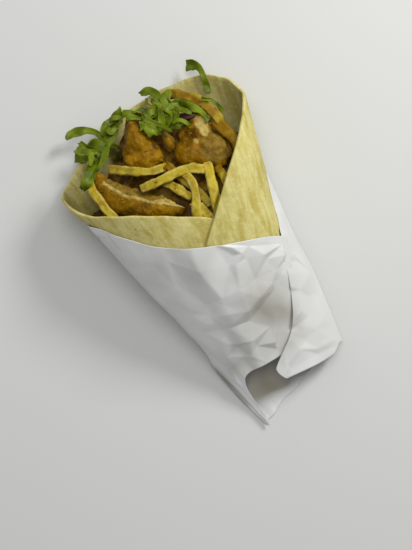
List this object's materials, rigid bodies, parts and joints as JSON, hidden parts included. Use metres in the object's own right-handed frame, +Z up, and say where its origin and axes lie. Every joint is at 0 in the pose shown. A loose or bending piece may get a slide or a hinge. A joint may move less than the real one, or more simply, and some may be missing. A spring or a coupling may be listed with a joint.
{
  "type": "wrap sandwich",
  "caption": "Cone-rolled flatbread wrap with fried chicken, fries and lettuce showing in its open mouth, held in a white paper sheet, lying on its back.",
  "frame": {"origin": "middle of the base of the bounding box, on the surface that the wrap lies on", "axes": "+Y along the cone from its open mouth towards its tip, +Z up, +X towards the side with the closed front"},
  "size_m": [0.131, 0.2332, 0.0653],
  "materials": {
    "flatbread": "soft, matt, griddled flatbread",
    "paper": "thin greaseproof paper, slightly see-through",
    "fries": "fried potato, slightly oily",
    "chicken": "fried, browned coating with torn meat",
    "lettuce": "fresh leaf, slightly wet",
    "pickle": "wet, slightly see-through",
    "onion": "wet, dark purple"
  },
  "bodies": {
    "root": {"tortilla": "flatbread", "paper_wrap": "paper", "fries": "fries", "chicken_strip_left": "chicken", "chicken_strip_right": "chicken", "chicken_strip_front": "chicken", "chicken_lump": "chicken", "pickle_piece": "pickle", "onion_piece": "onion", "lettuce_top_strip": "lettuce", "lettuce_beside_wall": "lettuce", "lettuce_beside_fry": "lettuce", "lettuce_upright": "lettuce", "lettuce_curl": "lettuce", "lettuce_across_back": "lettuce", "lettuce_across_front": "lettuce", "lettuce_inner": "lettuce", "lettuce_dark": "lettuce", "lettuce_rib": "lettuce", "lettuce_tip": "lettuce", "lettuce_folded": "lettuce", "lettuce_leaf_left": "lettuce", "lettuce_strip_left": "lettuce"}
  },
  "joints": []
}
